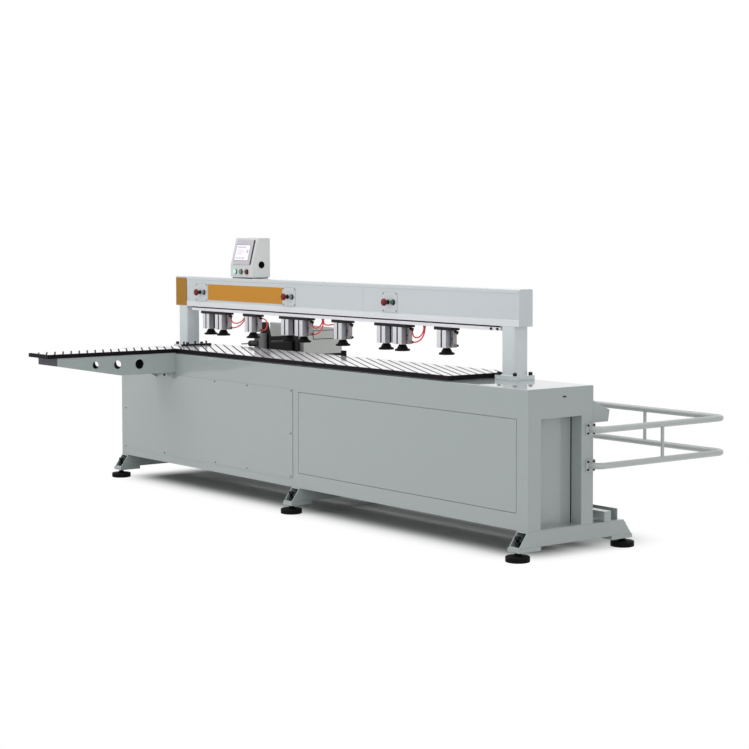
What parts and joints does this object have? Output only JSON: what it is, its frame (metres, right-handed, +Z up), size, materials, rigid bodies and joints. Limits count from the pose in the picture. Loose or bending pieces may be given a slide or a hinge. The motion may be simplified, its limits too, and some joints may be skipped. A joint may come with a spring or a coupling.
{
  "type": "horizontal hole drilling machine",
  "caption": "Long cabinet machine that drills panel edges: L-shaped striped table, overhead pneumatic pressers, and a horizontal drilling head travelling on rails behind it.",
  "frame": {"origin": "on the floor, below the middle of the whole machine's bounding box", "axes": "+X to the operator's right along the cabinet, +Y to the rear, +Z up; the wing of the table points to -Y"},
  "size_m": [4.204, 2.337, 1.6143],
  "materials": {
    "grey_paint": "satin grey-green machine paint",
    "light_paint": "satin light grey paint",
    "laminate": "glossy white wear strips with black joints and edge",
    "black_metal": "black coated steel",
    "black_rubber": "matte black",
    "aluminium": "anodised, fine satin",
    "steel": "machined steel",
    "red_plastic": "glossy red",
    "green_plastic": "glossy green",
    "grey_plastic": "glossy grey",
    "red_hose": "glossy red tube"
  },
  "bodies": {
    "frame": {"base_frame": "grey_paint", "chain_trough": "grey_paint", "chip_guard": "grey_paint", "control_box": "light_paint", "front_cover_panel": "grey_paint", "front_door_panel": "grey_paint", "guard_rail_left": "light_paint", "guard_rail_rear": "light_paint", "guard_rail_right": "light_paint", "hose_loop_2": "red_hose", "hose_set_1": "red_hose", "hose_set_3": "red_hose", "hose_set_5": "red_hose", "levelling_foot_front_left": "black_rubber", "levelling_foot_front_middle": "black_rubber", "levelling_foot_front_right": "black_rubber", "levelling_foot_rear_left": "black_rubber", "levelling_foot_rear_middle": "black_rubber", "levelling_foot_rear_right": "black_rubber", "post_left": "light_paint", "post_right": "light_paint", "press_beam": "light_paint", "presser_rail": "light_paint", "presser_unit_1": "aluminium", "presser_unit_2": "aluminium", "presser_unit_3": "aluminium", "presser_unit_4": "aluminium", "presser_unit_5": "aluminium", "presser_unit_6": "aluminium", "rail_bed": "steel", "skid_left": "grey_paint", "skid_middle": "grey_paint", "skid_right": "grey_paint", "stop_bar": "black_metal", "table_slab": "laminate", "wing_bracket": "grey_paint", "wing_slab": "laminate"},
    "carriage": {"carriage": "black_metal", "carriage_cover": "grey_paint"},
    "feed_slide": {"drive_unit": "black_metal", "spindle_block": "aluminium"},
    "spindle": {"drill_chuck": "steel"},
    "presser_1": {"presser_foot_1": "black_rubber"},
    "presser_2": {"presser_foot_2": "black_rubber"},
    "presser_3": {"presser_foot_3": "black_rubber"},
    "presser_4": {"presser_foot_4": "black_rubber"},
    "presser_5": {"presser_foot_5": "black_rubber"},
    "presser_6": {"presser_foot_6": "black_rubber"},
    "presser_7": {"presser_foot_7": "black_rubber"},
    "presser_8": {"presser_foot_8": "black_rubber"},
    "presser_9": {"presser_foot_9": "black_rubber"},
    "stop_1": {"emergency_stop_1": "red_plastic"},
    "stop_2": {"emergency_stop_2": "red_plastic"},
    "stop_3": {"emergency_stop_3": "red_plastic"},
    "start_1": {"start_button_1": "green_plastic"},
    "start_2": {"start_button_2": "green_plastic"},
    "start_3": {"start_button_3": "green_plastic"},
    "key_green": {"box_button_green": "green_plastic"},
    "key_grey": {"box_button_grey": "grey_plastic"},
    "key_red": {"box_button_red": "red_plastic"}
  },
  "joints": [
    {"name": "carriage_travel", "type": "slide", "parent": "frame", "child": "carriage", "axis": [1, 0, 0], "range_m": [-0.25, 2.6]},
    {"name": "head_feed", "type": "slide", "parent": "carriage", "child": "feed_slide", "axis": [0, -1, 0], "range_m": [0, 0.06]},
    {"name": "spindle_rotation", "type": "hinge", "parent": "feed_slide", "child": "spindle", "pos_m": [-1.285, 0.3115, 0.914], "axis": [0, 1, 0], "continuous": true},
    {"name": "presser_1_stroke", "type": "slide", "parent": "frame", "child": "presser_1", "axis": [0, 0, -1], "range_m": [0, 0.07], "stiffness_N_per_m": 300, "springref_m": -0.06},
    {"name": "presser_2_stroke", "type": "slide", "parent": "frame", "child": "presser_2", "axis": [0, 0, -1], "range_m": [0, 0.07], "stiffness_N_per_m": 300, "springref_m": -0.06},
    {"name": "presser_3_stroke", "type": "slide", "parent": "frame", "child": "presser_3", "axis": [0, 0, -1], "range_m": [0, 0.07], "stiffness_N_per_m": 300, "springref_m": -0.06},
    {"name": "presser_4_stroke", "type": "slide", "parent": "frame", "child": "presser_4", "axis": [0, 0, -1], "range_m": [0, 0.07], "stiffness_N_per_m": 300, "springref_m": -0.06},
    {"name": "presser_5_stroke", "type": "slide", "parent": "frame", "child": "presser_5", "axis": [0, 0, -1], "range_m": [0, 0.07], "stiffness_N_per_m": 300, "springref_m": -0.06},
    {"name": "presser_6_stroke", "type": "slide", "parent": "frame", "child": "presser_6", "axis": [0, 0, -1], "range_m": [0, 0.07], "stiffness_N_per_m": 300, "springref_m": -0.06},
    {"name": "presser_7_stroke", "type": "slide", "parent": "frame", "child": "presser_7", "axis": [0, 0, -1], "range_m": [0, 0.07], "stiffness_N_per_m": 300, "springref_m": -0.06},
    {"name": "presser_8_stroke", "type": "slide", "parent": "frame", "child": "presser_8", "axis": [0, 0, -1], "range_m": [0, 0.07], "stiffness_N_per_m": 300, "springref_m": -0.06},
    {"name": "presser_9_stroke", "type": "slide", "parent": "frame", "child": "presser_9", "axis": [0, 0, -1], "range_m": [0, 0.07], "stiffness_N_per_m": 300, "springref_m": -0.06},
    {"name": "emergency_stop_1_press", "type": "slide", "parent": "frame", "child": "stop_1", "axis": [0, 1, 0], "range_m": [0, 0.005], "stiffness_N_per_m": 400, "springref_m": -0.002},
    {"name": "emergency_stop_2_press", "type": "slide", "parent": "frame", "child": "stop_2", "axis": [0, 1, 0], "range_m": [0, 0.005], "stiffness_N_per_m": 400, "springref_m": -0.002},
    {"name": "emergency_stop_3_press", "type": "slide", "parent": "frame", "child": "stop_3", "axis": [0, 1, 0], "range_m": [0, 0.005], "stiffness_N_per_m": 400, "springref_m": -0.002},
    {"name": "start_button_1_press", "type": "slide", "parent": "frame", "child": "start_1", "axis": [0, 1, 0], "range_m": [0, 0.003], "stiffness_N_per_m": 400, "springref_m": -0.002},
    {"name": "start_button_2_press", "type": "slide", "parent": "frame", "child": "start_2", "axis": [0, 1, 0], "range_m": [0, 0.003], "stiffness_N_per_m": 400, "springref_m": -0.002},
    {"name": "start_button_3_press", "type": "slide", "parent": "frame", "child": "start_3", "axis": [0, 1, 0], "range_m": [0, 0.003], "stiffness_N_per_m": 400, "springref_m": -0.002},
    {"name": "box_button_green_press", "type": "slide", "parent": "frame", "child": "key_green", "axis": [0, 1, 0], "range_m": [0, 0.003], "stiffness_N_per_m": 400, "springref_m": -0.002},
    {"name": "box_button_grey_press", "type": "slide", "parent": "frame", "child": "key_grey", "axis": [0, 1, 0], "range_m": [0, 0.003], "stiffness_N_per_m": 400, "springref_m": -0.002},
    {"name": "box_button_red_press", "type": "slide", "parent": "frame", "child": "key_red", "axis": [0, 1, 0], "range_m": [0, 0.003], "stiffness_N_per_m": 400, "springref_m": -0.002}
  ]
}
